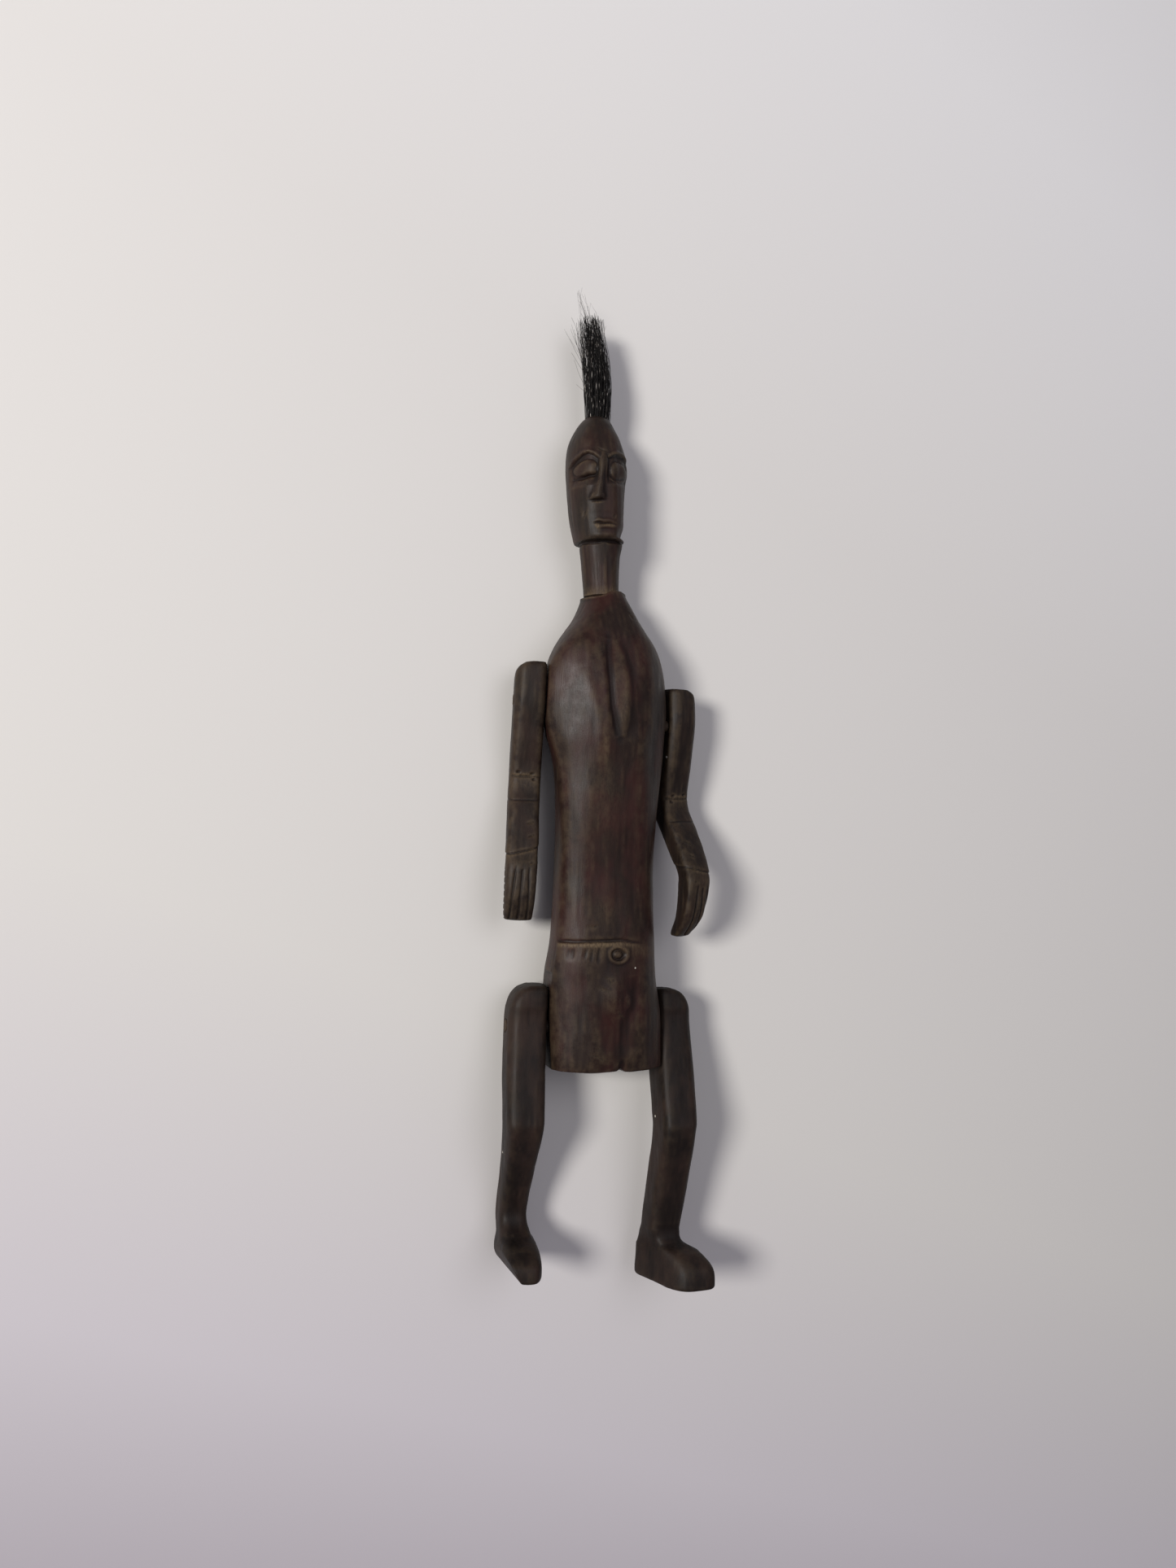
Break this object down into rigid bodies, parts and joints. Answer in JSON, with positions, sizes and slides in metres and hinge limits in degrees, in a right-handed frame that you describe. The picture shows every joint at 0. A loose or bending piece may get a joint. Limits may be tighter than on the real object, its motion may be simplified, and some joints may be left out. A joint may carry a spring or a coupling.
{
  "type": "jointed carved wooden figure",
  "caption": "Hand-carved dark hardwood figure with a turning head, arms and legs swinging on wooden pegs, and a tuft of hair set in the crown.",
  "frame": {"origin": "centre of the whole figure's footprint, on the surface it lies on", "axes": "+Y from the soles to the hair, +Z out of the chest, +X to the figure's left"},
  "size_m": [0.09, 0.395, 0.0385],
  "materials": {
    "trunk_wood": "dark oiled hardwood, satin, tool marks and rubbed edges",
    "head_wood": "dark oiled hardwood, satin, carved face",
    "limb_wood": "dark hardwood with visible grain and knife facets",
    "peg_wood": "whittled end grain, matte",
    "hair": "coarse glossy black hair"
  },
  "bodies": {
    "trunk": {"torso": "trunk_wood", "right_shoulder_peg": "peg_wood", "left_shoulder_peg": "peg_wood", "right_hip_peg": "peg_wood", "left_hip_peg": "peg_wood"},
    "head_unit": {"head": "head_wood", "hair_tuft": "hair", "hair_wedge": "peg_wood"},
    "right_arm_unit": {"right_arm": "limb_wood"},
    "left_arm_unit": {"left_arm": "limb_wood"},
    "right_leg_unit": {"right_leg": "limb_wood"},
    "left_leg_unit": {"left_leg": "limb_wood"}
  },
  "joints": [
    {"name": "neck_turn", "type": "hinge", "parent": "trunk", "child": "head_unit", "pos_m": [0.00277, 0.0835, 0.0142], "axis": [-0.0384, 0.9993, 0], "continuous": true},
    {"name": "right_shoulder", "type": "hinge", "parent": "trunk", "child": "right_arm_unit", "pos_m": [-0.02208, 0.0401, 0.0154], "axis": [-0.9599, 0.0541, -0.2752], "continuous": true},
    {"name": "left_shoulder", "type": "hinge", "parent": "trunk", "child": "left_arm_unit", "pos_m": [0.02947, 0.0313, 0.017], "axis": [-0.9847, 0.0175, 0.1736], "continuous": true},
    {"name": "right_hip", "type": "hinge", "parent": "trunk", "child": "right_leg_unit", "pos_m": [-0.02258, -0.0895, 0.0156], "axis": [-0.9879, 0.0698, -0.1388], "range_deg": [-30, 120]},
    {"name": "left_hip", "type": "hinge", "parent": "trunk", "child": "left_leg_unit", "pos_m": [0.02582, -0.095, 0.0134], "axis": [-0.9982, 0.0488, -0.0349], "range_deg": [-30, 120]}
  ]
}
